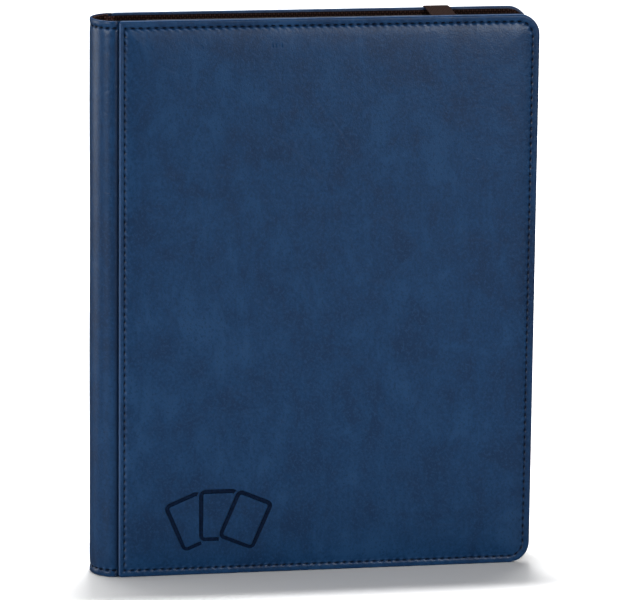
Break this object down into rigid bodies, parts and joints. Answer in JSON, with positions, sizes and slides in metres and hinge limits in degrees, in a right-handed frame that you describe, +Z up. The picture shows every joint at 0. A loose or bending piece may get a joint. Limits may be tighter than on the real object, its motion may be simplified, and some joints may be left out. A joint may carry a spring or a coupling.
{
  "type": "trading card binder",
  "caption": "Padded book-style binder for trading cards, with a soft hollow spine, side-loading pocket leaves and an elastic strap closure.",
  "frame": {"origin": "on the surface the binder stands on, under the middle of its width and thickness", "axes": "+Z up the height, +X from the spine to the fore edge, front cover facing -Y"},
  "size_m": [0.2538, 0.036, 0.3209],
  "materials": {
    "navy_leatherette": "satin embossed leatherette",
    "navy_thread": "twisted thread",
    "pale_foam": "soft foam",
    "grey_board": "matt board",
    "brown_black_lining": "fine weave",
    "dark_elastic": "ribbed elastic",
    "black_page": "matt embossed sheet",
    "clear_film": "clear gloss film"
  },
  "bodies": {
    "back_cover": {"back_panel_leather": "navy_leatherette", "back_foam_pad": "pale_foam", "back_board": "grey_board", "back_lining": "brown_black_lining", "back_seam_thread": "navy_thread", "page_binding": "brown_black_lining", "leaf_09": "black_page", "leaf_10": "black_page", "leaf_11": "black_page", "leaf_12": "black_page", "leaf_13": "black_page", "leaf_14": "black_page", "leaf_15": "black_page", "leaf_16": "black_page", "leaf_17": "black_page", "leaf_18": "black_page", "leaf_19": "black_page", "leaf_20": "black_page", "strap_top_tail": "dark_elastic", "strap_bottom_tail": "dark_elastic"},
    "spine": {"spine_leather": "navy_leatherette", "spine_stiffener": "grey_board", "spine_lining": "brown_black_lining", "spine_top_thread": "navy_thread", "spine_bottom_thread": "navy_thread", "front_hinge_strip": "brown_black_lining", "back_hinge_strip": "brown_black_lining"},
    "front_cover": {"front_panel_leather": "navy_leatherette", "front_foam_pad": "pale_foam", "front_board": "grey_board", "front_lining": "brown_black_lining", "front_seam_thread": "navy_thread"},
    "leaf_01_body": {"leaf_01_sheet": "black_page", "leaf_01_front_pockets": "clear_film", "leaf_01_back_pockets": "clear_film"},
    "leaf_02_body": {"leaf_02_sheet": "black_page", "leaf_02_front_pockets": "clear_film", "leaf_02_back_pockets": "clear_film"},
    "leaf_03_body": {"leaf_03_sheet": "black_page", "leaf_03_front_pockets": "clear_film", "leaf_03_back_pockets": "clear_film"},
    "leaf_04_body": {"leaf_04_sheet": "black_page", "leaf_04_front_pockets": "clear_film", "leaf_04_back_pockets": "clear_film"},
    "leaf_05_body": {"leaf_05_sheet": "black_page", "leaf_05_front_pockets": "clear_film", "leaf_05_back_pockets": "clear_film"},
    "leaf_06_body": {"leaf_06_sheet": "black_page", "leaf_06_front_pockets": "clear_film", "leaf_06_back_pockets": "clear_film"},
    "leaf_07_body": {"leaf_07_sheet": "black_page", "leaf_07_front_pockets": "clear_film", "leaf_07_back_pockets": "clear_film"},
    "leaf_08_body": {"leaf_08_sheet": "black_page", "leaf_08_front_pockets": "clear_film", "leaf_08_back_pockets": "clear_film"},
    "strap": {"elastic_strap": "dark_elastic"}
  },
  "joints": [
    {"name": "spine_hinge", "type": "hinge", "parent": "back_cover", "child": "spine", "pos_m": [-0.1123, 0.016, 0.16], "axis": [0, 0, -1], "range_deg": [0, 80]},
    {"name": "front_cover_hinge", "type": "hinge", "parent": "spine", "child": "front_cover", "pos_m": [-0.1123, -0.016, 0.16], "axis": [0, 0, -1], "range_deg": [0, 100]},
    {"name": "leaf_01_hinge", "type": "hinge", "parent": "back_cover", "child": "leaf_01_body", "pos_m": [-0.108, -0.01165, 0.16], "axis": [0, 0, -1], "range_deg": [0, 160]},
    {"name": "leaf_02_hinge", "type": "hinge", "parent": "back_cover", "child": "leaf_02_body", "pos_m": [-0.1044, -0.01045, 0.16], "axis": [0, 0, -1], "range_deg": [0, 146]},
    {"name": "leaf_03_hinge", "type": "hinge", "parent": "back_cover", "child": "leaf_03_body", "pos_m": [-0.10194, -0.00925, 0.16], "axis": [0, 0, -1], "range_deg": [0, 132]},
    {"name": "leaf_04_hinge", "type": "hinge", "parent": "back_cover", "child": "leaf_04_body", "pos_m": [-0.10015, -0.00805, 0.16], "axis": [0, 0, -1], "range_deg": [0, 118]},
    {"name": "leaf_05_hinge", "type": "hinge", "parent": "back_cover", "child": "leaf_05_body", "pos_m": [-0.0988, -0.00685, 0.16], "axis": [0, 0, -1], "range_deg": [0, 104]},
    {"name": "leaf_06_hinge", "type": "hinge", "parent": "back_cover", "child": "leaf_06_body", "pos_m": [-0.09778, -0.00565, 0.16], "axis": [0, 0, -1], "range_deg": [0, 90]},
    {"name": "leaf_07_hinge", "type": "hinge", "parent": "back_cover", "child": "leaf_07_body", "pos_m": [-0.09703, -0.00445, 0.16], "axis": [0, 0, -1], "range_deg": [0, 76]},
    {"name": "leaf_08_hinge", "type": "hinge", "parent": "back_cover", "child": "leaf_08_body", "pos_m": [-0.09651, -0.00325, 0.16], "axis": [0, 0, -1], "range_deg": [0, 62]},
    {"name": "strap_slide", "type": "slide", "parent": "back_cover", "child": "strap", "axis": [1, 0, 0], "range_m": [0, 0.066]}
  ],
  "couplings": [
    {"joint": "spine_hinge", "follows": "front_cover_hinge", "ratio": 0.8},
    {"joint": "leaf_01_hinge", "follows": "front_cover_hinge", "ratio": 1.6},
    {"joint": "leaf_02_hinge", "follows": "front_cover_hinge", "ratio": 1.46},
    {"joint": "leaf_03_hinge", "follows": "front_cover_hinge", "ratio": 1.32},
    {"joint": "leaf_04_hinge", "follows": "front_cover_hinge", "ratio": 1.18},
    {"joint": "leaf_05_hinge", "follows": "front_cover_hinge", "ratio": 1.04},
    {"joint": "leaf_06_hinge", "follows": "front_cover_hinge", "ratio": 0.9},
    {"joint": "leaf_07_hinge", "follows": "front_cover_hinge", "ratio": 0.76},
    {"joint": "leaf_08_hinge", "follows": "front_cover_hinge", "ratio": 0.62}
  ]
}
